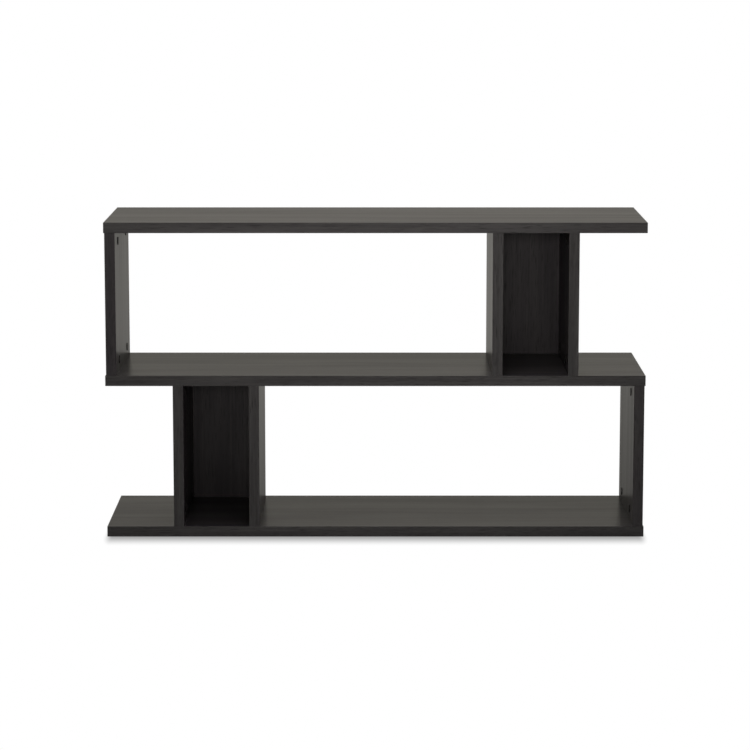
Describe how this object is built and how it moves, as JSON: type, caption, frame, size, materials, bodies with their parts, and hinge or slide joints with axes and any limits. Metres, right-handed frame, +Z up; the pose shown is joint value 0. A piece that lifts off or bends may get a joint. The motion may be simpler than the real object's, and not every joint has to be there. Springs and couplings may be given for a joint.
{
  "type": "zigzag bookshelf",
  "caption": "Low open zigzag bookshelf of dark laminated board, with long shelves carried by an end panel and a closed niche at opposite ends of each level.",
  "frame": {"origin": "on the floor, under the middle of the bottom shelf", "axes": "+X along the shelves to the right as seen from the front, +Y from front to rear, +Z up"},
  "size_m": [1.14, 0.34, 0.67],
  "materials": {
    "laminated_board": "chipboard faced with dark charcoal wood-grain melamine, satin",
    "edging": "ABS strip in the colour of the boards, lightly grained",
    "cam": "die-cast zinc",
    "cam_cover": "moulded black polypropylene",
    "cam_bolt": "zinc-plated steel",
    "dowel": "plain beech"
  },
  "bodies": {
    "root": {"bottom_shelf": "laminated_board", "bottom_shelf_front_edging": "edging", "bottom_shelf_left_edging": "edging", "bottom_shelf_rear_edging": "edging", "bottom_shelf_right_edging": "edging", "lower_niche_back": "laminated_board", "lower_niche_left_divider": "laminated_board", "lower_niche_left_divider_cam_bolts": "cam_bolt", "lower_niche_left_divider_cam_covers": "cam_cover", "lower_niche_left_divider_cams": "cam", "lower_niche_left_divider_dowels": "dowel", "lower_niche_left_divider_front_edging": "edging", "lower_niche_left_divider_rear_edging": "edging", "lower_niche_right_divider": "laminated_board", "lower_niche_right_divider_cam_bolts": "cam_bolt", "lower_niche_right_divider_cam_covers": "cam_cover", "lower_niche_right_divider_cams": "cam", "lower_niche_right_divider_dowels": "dowel", "lower_niche_right_divider_front_edging": "edging", "lower_niche_right_divider_rear_edging": "edging", "lower_right_end_panel": "laminated_board", "lower_right_end_panel_cam_bolts": "cam_bolt", "lower_right_end_panel_cam_covers": "cam_cover", "lower_right_end_panel_cams": "cam", "lower_right_end_panel_dowels": "dowel", "lower_right_end_panel_front_edging": "edging", "lower_right_end_panel_rear_edging": "edging", "middle_shelf": "laminated_board", "middle_shelf_front_edging": "edging", "middle_shelf_left_edging": "edging", "middle_shelf_rear_edging": "edging", "middle_shelf_right_edging": "edging", "niche_back_dowels": "dowel", "top_shelf": "laminated_board", "top_shelf_front_edging": "edging", "top_shelf_left_edging": "edging", "top_shelf_rear_edging": "edging", "top_shelf_right_edging": "edging", "upper_left_end_panel": "laminated_board", "upper_left_end_panel_cam_bolts": "cam_bolt", "upper_left_end_panel_cam_covers": "cam_cover", "upper_left_end_panel_cams": "cam", "upper_left_end_panel_dowels": "dowel", "upper_left_end_panel_front_edging": "edging", "upper_left_end_panel_rear_edging": "edging", "upper_niche_back": "laminated_board", "upper_niche_left_divider": "laminated_board", "upper_niche_left_divider_cam_bolts": "cam_bolt", "upper_niche_left_divider_cam_covers": "cam_cover", "upper_niche_left_divider_cams": "cam", "upper_niche_left_divider_dowels": "dowel", "upper_niche_left_divider_front_edging": "edging", "upper_niche_left_divider_rear_edging": "edging", "upper_niche_right_divider": "laminated_board", "upper_niche_right_divider_cam_bolts": "cam_bolt", "upper_niche_right_divider_cam_covers": "cam_cover", "upper_niche_right_divider_cams": "cam", "upper_niche_right_divider_dowels": "dowel", "upper_niche_right_divider_front_edging": "edging", "upper_niche_right_divider_rear_edging": "edging"}
  },
  "joints": []
}
